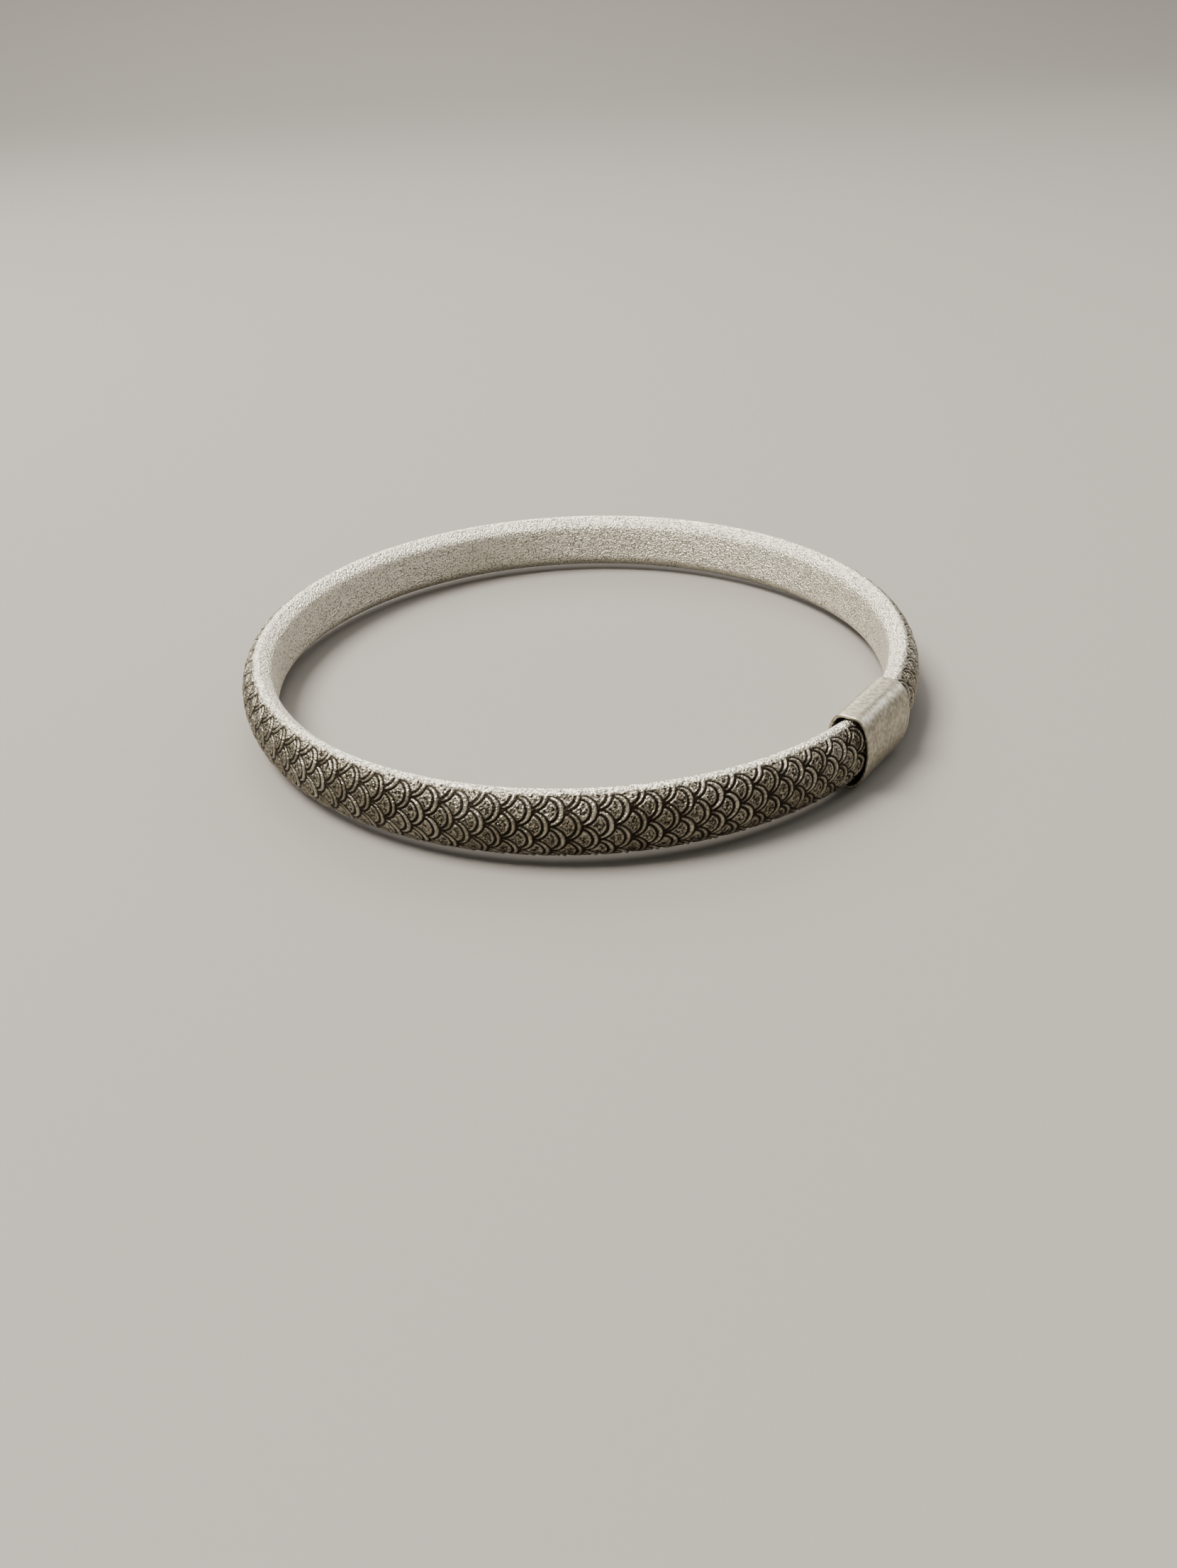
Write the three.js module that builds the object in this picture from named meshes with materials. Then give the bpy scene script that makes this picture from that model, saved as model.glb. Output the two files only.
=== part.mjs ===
// A silver push-pull bangle.
//
// The band is one springy bar, bent round until its two ends meet inside a short plain sleeve.
// The sleeve is fixed on one end. The other end slides in its open mouth, so the band can be
// pulled wider for the hand and pushed small again for the wrist.
//
// Millimetres, +Z up. The bangle lies on its side: its axis is Z, and Z = 0 is the lowest point,
// the underside of the sleeve. Azimuths are measured from +X, turning towards +Y.

import * as THREE from 'three';

// ---- Driving dimensions ----

const INNER_RADIUS = 29.5; // wrist side of the band
const BAND_WIDTH = 5.9; // along the bangle's axis
const BAND_THICKNESS = 3.0; // from the wrist side to the outer crown
const BAND_WRIST_DEPTH = 1.05; // from the wrist side back to the edge
const BEVEL_SLOPE = 1.18; // depth of the wrist side's edge bevels over their height
const BEVEL_SHARPNESS = 6; // how crisply a bevel meets the wrist side
const BAND_LAND = 0.2; // flat along each edge, at the widest place
const BAND_FULLNESS = 2; // exponent of a rounded side: 2 is an ellipse, more is squarer

const SLEEVE_AZIMUTH_DEG = -37.2; // middle of the sleeve
const SLEEVE_LENGTH = 8.6;
const SLEEVE_WALL = 0.25;
const SLEEVE_LAND = 0.6;
const SLEEVE_FULLNESS = 2;
const SLEEVE_WRIST_FULLNESS = 3;
const SLIDING_GAP = 0.2; // from the sleeve's inside to the band's edges and wrist side
const MOUTH_GAP = 0.26; // from the sleeve's inside to the band's crown, at the mouth

const FREE_END_DEPTH = 3.6; // how far the sliding end reaches in from the mouth
const FIXED_END_DEPTH = 3.0; // how far the fixed end reaches in from the other side
const TONGUE_SHARE = 0.9; // the hidden ends are dressed down to this share of the section
const TONGUE_START = 0.7; // depth inside the sleeve where that begins
const TONGUE_TAPER = 0.8; // length of the taper down to it

const QUARTER_POINTS = 6; // points on each rounded quarter of a section
const BAND_STEPS = 120;

// ---- Worked out from these ----

const outerRadius = INNER_RADIUS + BAND_THICKNESS;
const sleeveAngle = THREE.MathUtils.degToRad(SLEEVE_AZIMUTH_DEG);

// The middle of the edge land, which the sections are swept along.
const sweepRadius = INNER_RADIUS + BAND_WRIST_DEPTH + BAND_LAND / 2;
const halfSleeveAngle = Math.asin(SLEEVE_LENGTH / 2 / sweepRadius);

// The sleeve is straight and the band is bent, so at the mouth the band lies a little further in.
const cavityInner = INNER_RADIUS * Math.cos(halfSleeveAngle) - SLIDING_GAP;
const cavityOuter = outerRadius * Math.cos(halfSleeveAngle) + MOUTH_GAP;
const sleeveCentreRadius = (cavityInner + cavityOuter) / 2;
const sleeveThickness = cavityOuter - cavityInner + 2 * SLEEVE_WALL;
const sleeveWidth = BAND_WIDTH + 2 * (SLIDING_GAP + SLEEVE_WALL);
const centreHeight = sleeveWidth / 2;

// ---- Sections ----

// A side of a section tells how far it reaches past the land and how far it rises along the
// axis, at an angle: nought at its middle, a quarter turn at the edge.

/** A side rounded as an ellipse is, or more squarely. */
function roundedSide(halfWidth, depth, fullness) {
  const power = 2 / fullness;
  return (angle) => ({
    reach: depth * Math.abs(Math.cos(angle)) ** power,
    rise: halfWidth * Math.sin(angle) ** power,
  });
}

/** A nearly flat side with a bevel down to each edge. */
function bevelledSide(halfWidth, depth) {
  return (angle) => {
    const rise = halfWidth * Math.sin(angle);
    const bevel = (halfWidth - rise) * BEVEL_SLOPE;
    const share = (1 + (bevel / depth) ** BEVEL_SHARPNESS) ** (-1 / BEVEL_SHARPNESS);
    return { reach: bevel * share, rise };
  };
}

/** Closed outline of a section: x runs outwards from the wrist, y along the bangle's axis. */
function outline(land, crownSide, wristSide) {
  const walk = (side, outward, upward, steps) =>
    steps.map((step) => {
      const { reach, rise } = side((step / QUARTER_POINTS) * (Math.PI / 2));
      return new THREE.Vector2(outward * (land / 2 + reach), upward * rise);
    });
  const toEdge = Array.from({ length: QUARTER_POINTS + 1 }, (_, step) => step);
  const fromEdge = toEdge.slice(1).reverse(); // stops short of the middle, where the next begins
  return [
    ...walk(crownSide, 1, 1, toEdge),
    ...walk(wristSide, -1, 1, fromEdge),
    ...walk(wristSide, -1, -1, toEdge),
    ...walk(crownSide, 1, -1, fromEdge),
  ];
}

/** The outline of the straight sleeve, or of its cavity when the wall is taken off. */
function sleeveOutline(wallTaken) {
  const halfWidth = sleeveWidth / 2 - wallTaken;
  const depth = (sleeveThickness - SLEEVE_LAND) / 2 - wallTaken;
  return outline(
    SLEEVE_LAND,
    roundedSide(halfWidth, depth, SLEEVE_FULLNESS),
    roundedSide(halfWidth, depth, SLEEVE_WRIST_FULLNESS),
  );
}

// ---- Band ----

/** The circle that the band's section follows, from its fixed end round to its free end. */
class BandPath extends THREE.Curve {
  constructor(startAngle, endAngle) {
    super();
    this.startAngle = startAngle;
    this.endAngle = endAngle;
  }

  getPoint(t, target = new THREE.Vector3()) {
    const angle = THREE.MathUtils.lerp(this.startAngle, this.endAngle, t);
    return target.set(sweepRadius * Math.cos(angle), sweepRadius * Math.sin(angle), 0);
  }
}

/** Dress the two hidden ends down, so that they pass through the straight sleeve. */
function dressHiddenEnds(geometry) {
  const position = geometry.getAttribute('position');
  const point = new THREE.Vector3();
  for (let i = 0; i < position.count; i += 1) {
    point.fromBufferAttribute(position, i);
    const turn = Math.atan2(point.y, point.x) - sleeveAngle;
    const awayFromMiddle = Math.abs(Math.atan2(Math.sin(turn), Math.cos(turn)));
    const depthInside = (halfSleeveAngle - awayFromMiddle) * sweepRadius;
    const taper = THREE.MathUtils.smoothstep(depthInside, TONGUE_START, TONGUE_START + TONGUE_TAPER);
    const share = THREE.MathUtils.lerp(1, TONGUE_SHARE, taper);
    const radius = Math.hypot(point.x, point.y);
    const scale = (sweepRadius + (radius - sweepRadius) * share) / radius;
    position.setXYZ(i, point.x * scale, point.y * scale, point.z * share);
  }
  return geometry;
}

function makeBand() {
  const crownDepth = BAND_THICKNESS - BAND_WRIST_DEPTH - BAND_LAND;
  const bar = outline(
    BAND_LAND,
    roundedSide(BAND_WIDTH / 2, crownDepth, BAND_FULLNESS),
    bevelledSide(BAND_WIDTH / 2, BAND_WRIST_DEPTH),
  );
  // A sweep turned about +Z carries a shape's x down the axis and its y in towards the wrist.
  const section = new THREE.Shape(bar.map(({ x, y }) => new THREE.Vector2(-y, -x)));
  const fixedEnd = sleeveAngle + halfSleeveAngle - FIXED_END_DEPTH / sweepRadius;
  const freeEnd = sleeveAngle - halfSleeveAngle + FREE_END_DEPTH / sweepRadius + 2 * Math.PI;
  const geometry = new THREE.ExtrudeGeometry(section, {
    steps: BAND_STEPS,
    extrudePath: new BandPath(fixedEnd, freeEnd),
  });
  const patternedSilver = new THREE.MeshStandardMaterial({
    color: 0xb5b0a3,
    roughness: 0.42,
    metalness: 1,
  });
  const band = new THREE.Mesh(dressHiddenEnds(geometry), patternedSilver);
  band.name = 'band';
  return band;
}

// ---- Sleeve ----

function makeSleeve() {
  const section = new THREE.Shape(sleeveOutline(0));
  section.holes.push(new THREE.Path(sleeveOutline(SLEEVE_WALL)));
  const geometry = new THREE.ExtrudeGeometry(section, { depth: SLEEVE_LENGTH, bevelEnabled: false });
  const satinSilver = new THREE.MeshStandardMaterial({
    color: 0xc9c4b8,
    roughness: 0.35,
    metalness: 1,
  });
  const sleeve = new THREE.Mesh(geometry, satinSilver);
  sleeve.name = 'sleeve';
  // Stood so that its section's x points outwards, its y up and its length along the tangent.
  sleeve.rotation.x = Math.PI / 2;
  sleeve.position.set(sleeveCentreRadius, SLEEVE_LENGTH / 2, 0);
  const atAzimuth = new THREE.Group();
  atAzimuth.rotation.z = sleeveAngle;
  atAzimuth.add(sleeve);
  return atAzimuth;
}

// ---- Assembly ----

const bangle = new THREE.Group();
bangle.position.z = centreHeight;
bangle.add(makeBand(), makeSleeve());

export default bangle;
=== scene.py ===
"""A silver push-pull bangle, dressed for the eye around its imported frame.

The band is one springy cast bar, chased outside with overlapping fish scales and blasted frosty
on its edges and wrist side. A short plain sleeve of satin silver hides its two ends: it grips one
and lets the other slide. Lengths are in millimetres until a mesh is made, and metres from there.
"""

from __future__ import annotations

import logging
import math
from dataclasses import dataclass
from enum import Enum
from typing import Any

import bpy
from mathutils import Matrix, Vector

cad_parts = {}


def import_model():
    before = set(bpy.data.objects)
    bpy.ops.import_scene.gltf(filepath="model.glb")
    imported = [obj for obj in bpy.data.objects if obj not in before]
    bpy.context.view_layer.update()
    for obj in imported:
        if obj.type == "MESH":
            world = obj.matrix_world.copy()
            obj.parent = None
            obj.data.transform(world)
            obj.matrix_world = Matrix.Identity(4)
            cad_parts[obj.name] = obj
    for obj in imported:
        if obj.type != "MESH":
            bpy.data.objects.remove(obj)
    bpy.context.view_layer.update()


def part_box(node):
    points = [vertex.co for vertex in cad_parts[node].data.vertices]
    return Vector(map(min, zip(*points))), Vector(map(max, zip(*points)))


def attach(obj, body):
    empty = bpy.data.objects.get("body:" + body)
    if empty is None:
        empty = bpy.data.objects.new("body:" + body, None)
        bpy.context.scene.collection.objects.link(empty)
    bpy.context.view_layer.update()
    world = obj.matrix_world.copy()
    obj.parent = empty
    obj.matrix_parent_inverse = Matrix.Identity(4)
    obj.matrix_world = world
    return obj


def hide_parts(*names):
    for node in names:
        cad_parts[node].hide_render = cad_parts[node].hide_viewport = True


LOG = logging.getLogger("bangle")
MM = 0.001  # one millimetre in metres
BODY = "root"


# ---------------------------------------------------------------------------------------------
# Node trees
# ---------------------------------------------------------------------------------------------


def add_node(
    tree: bpy.types.NodeTree,
    kind: str,
    settings: dict[str, Any] | None = None,
    inputs: dict[str | int, Any] | None = None,
) -> bpy.types.Node:
    """Add one node to a tree.

    Args:
        tree: The shader or geometry tree.
        kind: The node's type name.
        settings: Properties to set on the node, by name.
        inputs: Values, sockets or fields for its inputs, by name or place.

    Returns:
        The new node.
    """
    node = tree.nodes.new(kind)
    for name, value in (settings or {}).items():
        setattr(node, name, value)
    for key, value in (inputs or {}).items():
        source = value.socket if isinstance(value, Field) else value
        if isinstance(source, bpy.types.NodeSocket):
            tree.links.new(source, node.inputs[key])
        else:
            node.inputs[key].default_value = source
    return node


def first_output(
    tree: bpy.types.NodeTree,
    kind: str,
    settings: dict[str, Any] | None = None,
    inputs: dict[str | int, Any] | None = None,
) -> bpy.types.NodeSocket:
    """Add one node, as add_node does, and return its first output."""
    return add_node(tree, kind, settings, inputs).outputs[0]


def vector_math(tree: bpy.types.NodeTree, operation: str, *values: Any) -> bpy.types.NodeSocket:
    """Add a Vector Math node and return the vector that it works out."""
    return first_output(tree, "ShaderNodeVectorMath", {"operation": operation}, dict(enumerate(values)))


def new_object(name: str, data: bpy.types.ID) -> bpy.types.Object:
    """Put a new object in the scene.

    Args:
        name: Its name.
        data: Its mesh, lamp or camera.

    Returns:
        The object, at the origin.
    """
    made = bpy.data.objects.new(name, data)
    bpy.context.scene.collection.objects.link(made)
    return made


@dataclass(frozen=True)
class Field:
    """A number worked out by a node tree, which takes the ordinary signs of arithmetic."""

    tree: bpy.types.NodeTree
    socket: bpy.types.NodeSocket

    def apply(self, operation: str, *others: Field | float) -> Field:
        """Combine this number with others.

        Args:
            operation: The Math node's operation.
            others: The operation's further values.

        Returns:
            The result.
        """
        inputs = dict(enumerate((self, *others)))
        return Field(self.tree, first_output(self.tree, "ShaderNodeMath", {"operation": operation}, inputs))

    def __add__(self, other: Field | float) -> Field:
        """Return the sum."""
        return self.apply("ADD", other)

    def __sub__(self, other: Field | float) -> Field:
        """Return the difference."""
        return self.apply("SUBTRACT", other)

    def __rsub__(self, other: float) -> Field:
        """Return a plain number less this one."""
        return self.apply("MULTIPLY_ADD", -1.0, other)

    def __mul__(self, other: Field | float) -> Field:
        """Return the product."""
        return self.apply("MULTIPLY", other)

    def __truediv__(self, other: Field | float) -> Field:
        """Return the quotient."""
        return self.apply("DIVIDE", other)

    def __abs__(self) -> Field:
        """Return the size of the number without its sign."""
        return self.apply("ABSOLUTE")

    def length_with(self, other: Field) -> Field:
        """Return the long side of the right triangle that the two numbers make."""
        return (self * self + other * other).apply("SQRT")

    def chosen(self, when: Field, otherwise: Field) -> Field:
        """Return this number where `when` is one, and the other where it is nought."""
        return otherwise + when * (self - otherwise)

    def ramp(self, start: Field | float, end: Field | float) -> Field:
        """Rise smoothly from nought at one value to one at another.

        Args:
            start: Where the rise begins.
            end: Where it is complete.

        Returns:
            The share of the rise.
        """
        settings = {"interpolation_type": "SMOOTHSTEP"}
        inputs = {0: self, 1: start, 2: end}
        return Field(self.tree, first_output(self.tree, "ShaderNodeMapRange", settings, inputs))


def linear(sheet: str) -> tuple[float, float, float, float]:
    """Turn an sRGB hex colour to linear light.

    Args:
        sheet: Six hex digits.

    Returns:
        Red, green, blue and alpha.
    """
    shares = [int(sheet[i : i + 2], 16) / 255 for i in (0, 2, 4)]
    red, green, blue = (s / 12.92 if s <= 0.04045 else ((s + 0.055) / 1.055) ** 2.4 for s in shares)
    return red, green, blue, 1.0


# ---------------------------------------------------------------------------------------------
# Finishes
# ---------------------------------------------------------------------------------------------


class Stored(str, Enum):
    """What the band's mesh tells its material, point by point."""

    TARNISH = "tarnish"  # one at the bottom of a groove
    CHASED = "chased"  # one where the scales are, nought on the frosted silver
    SCALE_TONE = "scale_tone"  # a number for each scale
    PUNCHED = "punched"  # one on the pitted middle of a scale


@dataclass(frozen=True)
class Grain:
    """A fine grain that tilts the surface.

    Attributes:
        size: Width of one grain, in millimetres.
        height: What the shading takes the noise's full range to be, in millimetres. No metal stands
            so high: it is set for the sparkle, and moves no surface.
    """

    size: float
    height: float


def new_material(name: str) -> tuple[bpy.types.Material, bpy.types.NodeTree, bpy.types.Node]:
    """Make an empty metal.

    Args:
        name: The material's name.

    Returns:
        The material, its tree and its shader.
    """
    material = bpy.data.materials.new(name)
    material.use_nodes = True
    tree = material.node_tree
    tree.nodes.clear()
    shader = add_node(tree, "ShaderNodeBsdfPrincipled", None, {"Metallic": 1.0})
    add_node(tree, "ShaderNodeOutputMaterial", None, {"Surface": shader.outputs[0]})
    return material, tree, shader


def grain_noise(tree: bpy.types.NodeTree, size: float, detail: float) -> Field:
    """Make a noise of a real size over a piece.

    Args:
        tree: The material's tree.
        size: Width of one grain, in millimetres.
        detail: How many finer layers lie in it.

    Returns:
        The noise, from nought to one.
    """
    place = add_node(tree, "ShaderNodeTexCoord").outputs["Object"]
    inputs = {"Vector": place, "Scale": 1 / (size * MM), "Detail": detail}
    return Field(tree, first_output(tree, "ShaderNodeTexNoise", {"noise_dimensions": "3D"}, inputs))


def blend(tree: bpy.types.NodeTree, share: Field, first: Any, second: Any) -> bpy.types.NodeSocket:
    """Blend two colours.

    Args:
        tree: The material's tree.
        share: How much of the second, from nought to one.
        first: A colour, or the socket of one.
        second: Another.

    Returns:
        The blend.
    """
    inputs = {0: share, 6: first, 7: second}
    return add_node(tree, "ShaderNodeMix", {"data_type": "RGBA"}, inputs).outputs[2]


def emboss(shader: bpy.types.Node, relief: Field, height: float) -> None:
    """Tilt a metal's surface with a fine relief.

    Args:
        shader: The metal's shader.
        relief: The relief, from nought to one.
        height: What that range counts for, in millimetres.
    """
    inputs = {"Strength": 1.0, "Distance": height * MM, "Height": relief}
    bump = first_output(relief.tree, "ShaderNodeBump", None, inputs)
    relief.tree.links.new(bump, shader.inputs["Normal"])


@dataclass(frozen=True)
class OxidisedSilver:
    """Cast sterling silver, blackened and then rubbed bright.

    The sulphide stays at the bottom of the grooves, so the chasing reads as dark lines on warm
    grey metal. What the rubbing and blasting reach is frosty, with a sparkle from its grain.

    Attributes:
        bright: The frosted metal.
        rubbed: The metal of the scales, a little duller.
        tarnish: The sulphide.
        bright_roughness: Roughness of the scales.
        frost_roughness: Roughness of the frosted metal.
        tarnish_roughness: Roughness at the bottom of a groove.
        roughness_spread: How much the grain makes it differ.
        rubbed_least: How far the brightest scale is on the way to the rubbed colour.
        rubbed_spread: How much further the dullest is.
        blasted: The frosted metal's grain.
        blasted_range: Where in that grain tarnish begins and is complete.
        grain_worn: The share of the grain that rubbing took off the scales.
        pit_size: Width of the punched pits in the scales' middles, in millimetres.
        pit_range: Where in those pits tarnish begins and is complete.
        pit_hold: How much tarnish those pits keep.
        frost_hold: How much tarnish the frosted grain keeps.
        scale_loss: How much less of it the scales keep.
        cloud_size: Width of the faint clouds of tarnish over it all, in millimetres.
        cloud_depth: How much those clouds darken.
    """

    bright: str = "EAE4D3"
    rubbed: str = "A29985"
    tarnish: str = "26211A"
    bright_roughness: float = 0.34
    frost_roughness: float = 0.42
    tarnish_roughness: float = 0.6
    roughness_spread: float = 0.16
    rubbed_least: float = 0.65
    rubbed_spread: float = 0.3
    # Bead blasting leaves pits of about 0.05 mm, drawn here four times as wide so that they show.
    blasted: Grain = Grain(size=0.2, height=0.35)
    blasted_range: tuple[float, float] = (0.49, 0.62)
    grain_worn: float = 0.5
    pit_size: float = 0.19
    pit_range: tuple[float, float] = (0.45, 0.57)
    pit_hold: float = 0.85
    frost_hold: float = 0.6
    scale_loss: float = 0.05
    cloud_size: float = 4.0
    cloud_depth: float = 0.16

    def make(self) -> bpy.types.Material:
        """Build the material.

        Returns:
            The material.
        """
        material, tree, shader = new_material("oxidised_cast_silver")
        stored = {}
        for kind in Stored:
            node = add_node(tree, "ShaderNodeAttribute", {"attribute_name": kind.value})
            stored[kind] = Field(tree, node.outputs["Fac"])
        chased = stored[Stored.CHASED]
        speck = grain_noise(tree, self.blasted.size, 2.0)
        pit = grain_noise(tree, self.pit_size, 1.0)
        cloud = grain_noise(tree, self.cloud_size, 3.0)

        # Rubbed metal is a little duller than the frosted edge, and no two scales are quite alike.
        dull = chased * (stored[Stored.SCALE_TONE] * self.rubbed_spread + self.rubbed_least)
        base = blend(tree, dull, linear(self.bright), linear(self.rubbed))
        # Tarnish stays in the lines, in the punched pits, and thinly in the blasted ones.
        in_pits = stored[Stored.PUNCHED] * pit.ramp(*self.pit_range) * self.pit_hold
        in_frost = speck.ramp(*self.blasted_range) * (chased * -self.scale_loss + self.frost_hold)
        held = stored[Stored.TARNISH].apply("MAXIMUM", in_pits + in_frost)
        clouded = held + cloud * self.cloud_depth - self.cloud_depth / 2
        dark = clouded.apply("MINIMUM", 1.0).apply("MAXIMUM", 0.0)
        tree.links.new(blend(tree, dark, base, linear(self.tarnish)), shader.inputs["Base Color"])

        polish = chased * (self.bright_roughness - self.frost_roughness)
        rough = polish + self.frost_roughness + speck * self.roughness_spread - self.roughness_spread / 2
        rough = rough + stored[Stored.TARNISH] * (self.tarnish_roughness - self.bright_roughness)
        tree.links.new(rough.socket, shader.inputs["Roughness"])

        emboss(shader, speck * (1.0 - chased * self.grain_worn), self.blasted.height)
        return material


@dataclass(frozen=True)
class SatinSilver:
    """Sterling silver tube, rubbed along its length with fine abrasive: smooth, soft and pale.

    Attributes:
        colour: Where it is cleanest.
        dull: Where a little tarnish lies.
        cloud_size: Width of a patch of that, in millimetres.
        cloud_range: Where in the noise a patch begins and is complete.
        roughness: The middle of its range.
        roughness_spread: How wide that range is.
        line_width: Between satin lines, in millimetres.
        line_stretch: How much longer than wide a line is.
        line_height: How high a line stands, in millimetres.
    """

    colour: str = "BCB6A5"
    dull: str = "8C8574"
    cloud_size: float = 0.4
    cloud_range: tuple[float, float] = (0.3, 0.7)
    roughness: float = 0.44
    roughness_spread: float = 0.12
    # Real satin lines are about 0.02 mm apart, drawn five times as wide so that they show.
    line_width: float = 0.1
    line_stretch: float = 12.0
    line_height: float = 0.006

    def make(self, along: Vector) -> bpy.types.Material:
        """Build the material.

        Args:
            along: The way the satin lines run.

        Returns:
            The material.
        """
        material, tree, shader = new_material("satin_silver")
        cloud = grain_noise(tree, self.cloud_size, 4.0).ramp(*self.cloud_range)
        colour = blend(tree, cloud, linear(self.colour), linear(self.dull))
        tree.links.new(colour, shader.inputs["Base Color"])

        # The noise is turned to lie along the tube and then squeezed across it.
        place = add_node(tree, "ShaderNodeTexCoord").outputs["Object"]
        turn = (0.0, 0.0, -math.atan2(along.y, along.x))
        turned = first_output(tree, "ShaderNodeMapping", None, {"Vector": place, "Rotation": turn})
        pitch = 1 / (self.line_width * MM)
        inputs = {"Vector": turned, "Scale": (pitch / self.line_stretch, pitch, pitch)}
        squeezed = first_output(tree, "ShaderNodeMapping", None, inputs)
        inputs = {"Vector": squeezed, "Scale": 1.0, "Detail": 2.0}
        lines = Field(tree, first_output(tree, "ShaderNodeTexNoise", None, inputs))
        rough = lines * self.roughness_spread + (self.roughness - self.roughness_spread / 2)
        tree.links.new(rough.socket, shader.inputs["Roughness"])
        emboss(shader, lines, self.line_height)
        return material


# ---------------------------------------------------------------------------------------------
# Sections
# ---------------------------------------------------------------------------------------------


@dataclass(frozen=True)
class RoundedSide:
    """A side of a section, rounded as an ellipse is, or more squarely.

    Attributes:
        depth: How far its middle stands past the land.
        fullness: Exponent of the rounding: 2 is an ellipse, more is squarer.
    """

    depth: float
    fullness: float

    def reach(self, turn: float, half_width: float) -> tuple[float, float]:
        """Find a point of the side.

        Args:
            turn: Angle from the side's middle, nought, to its edge, a quarter turn.
            half_width: Half the section's width.

        Returns:
            How far it stands past the land, and how far along the axis.
        """
        power = 2 / self.fullness
        return self.depth * math.cos(turn) ** power, half_width * math.sin(turn) ** power


@dataclass(frozen=True)
class BevelledSide:
    """A nearly flat side with a bevel down to each edge.

    Attributes:
        depth: How far its middle stands past the land.
        slope: Depth of a bevel over its height.
        sharpness: How crisply a bevel meets the flat.
    """

    depth: float
    slope: float = 1.18
    sharpness: float = 6.0

    def reach(self, turn: float, half_width: float) -> tuple[float, float]:
        """Find a point of the side.

        Args:
            turn: Angle from the side's middle, nought, to its edge, a quarter turn.
            half_width: Half the section's width.

        Returns:
            How far it stands past the land, and how far along the axis.
        """
        rise = half_width * math.sin(turn)
        bevel = (half_width - rise) * self.slope
        share = (1 + (bevel / self.depth) ** self.sharpness) ** (-1 / self.sharpness)
        return bevel * share, rise


@dataclass(frozen=True)
class Outline:
    """A closed section: x runs outwards from the wrist and y along the bangle's axis.

    Attributes:
        width: Full width along the axis.
        land: Flat along each edge.
        crown_side: The outer side.
        wrist_side: The inner side.
    """

    width: float
    land: float
    crown_side: RoundedSide
    wrist_side: RoundedSide | BevelledSide

    def point(self, turn: float) -> Vector:
        """Find a point of the outline.

        Args:
            turn: The way round, in radians: nought at the outer crown, a quarter turn at the top.

        Returns:
            The point, with nought for its third number.
        """
        outward = math.copysign(1.0, math.cos(turn))
        side = self.crown_side if outward > 0 else self.wrist_side
        from_middle = math.asin(min(abs(math.sin(turn)), 1.0))
        reach, rise = side.reach(from_middle, self.width / 2)
        return Vector((outward * (self.land / 2 + reach), math.copysign(rise, math.sin(turn)), 0))

    def stretch(self, start: float, end: float, cells: int) -> list[Vector]:
        """Walk evenly along a stretch of the outline.

        Args:
            start: Where it starts, in radians.
            end: Where it ends.
            cells: How many equal steps it takes.

        Returns:
            One point more than there are steps.
        """
        fine = 4000
        walk = [self.point(start + (end - start) * i / fine) for i in range(fine + 1)]
        gone = [0.0]
        for here, there in zip(walk, walk[1:]):
            gone.append(gone[-1] + (there - here).length)
        points = []
        i = 0
        for step in range(cells + 1):
            wanted = gone[-1] * step / cells
            while i < fine - 1 and gone[i + 1] < wanted:
                i += 1
            share = (wanted - gone[i]) / (gone[i + 1] - gone[i])
            points.append(walk[i].lerp(walk[i + 1], min(share, 1.0)))
        return points


# ---------------------------------------------------------------------------------------------
# The band
# ---------------------------------------------------------------------------------------------


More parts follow.
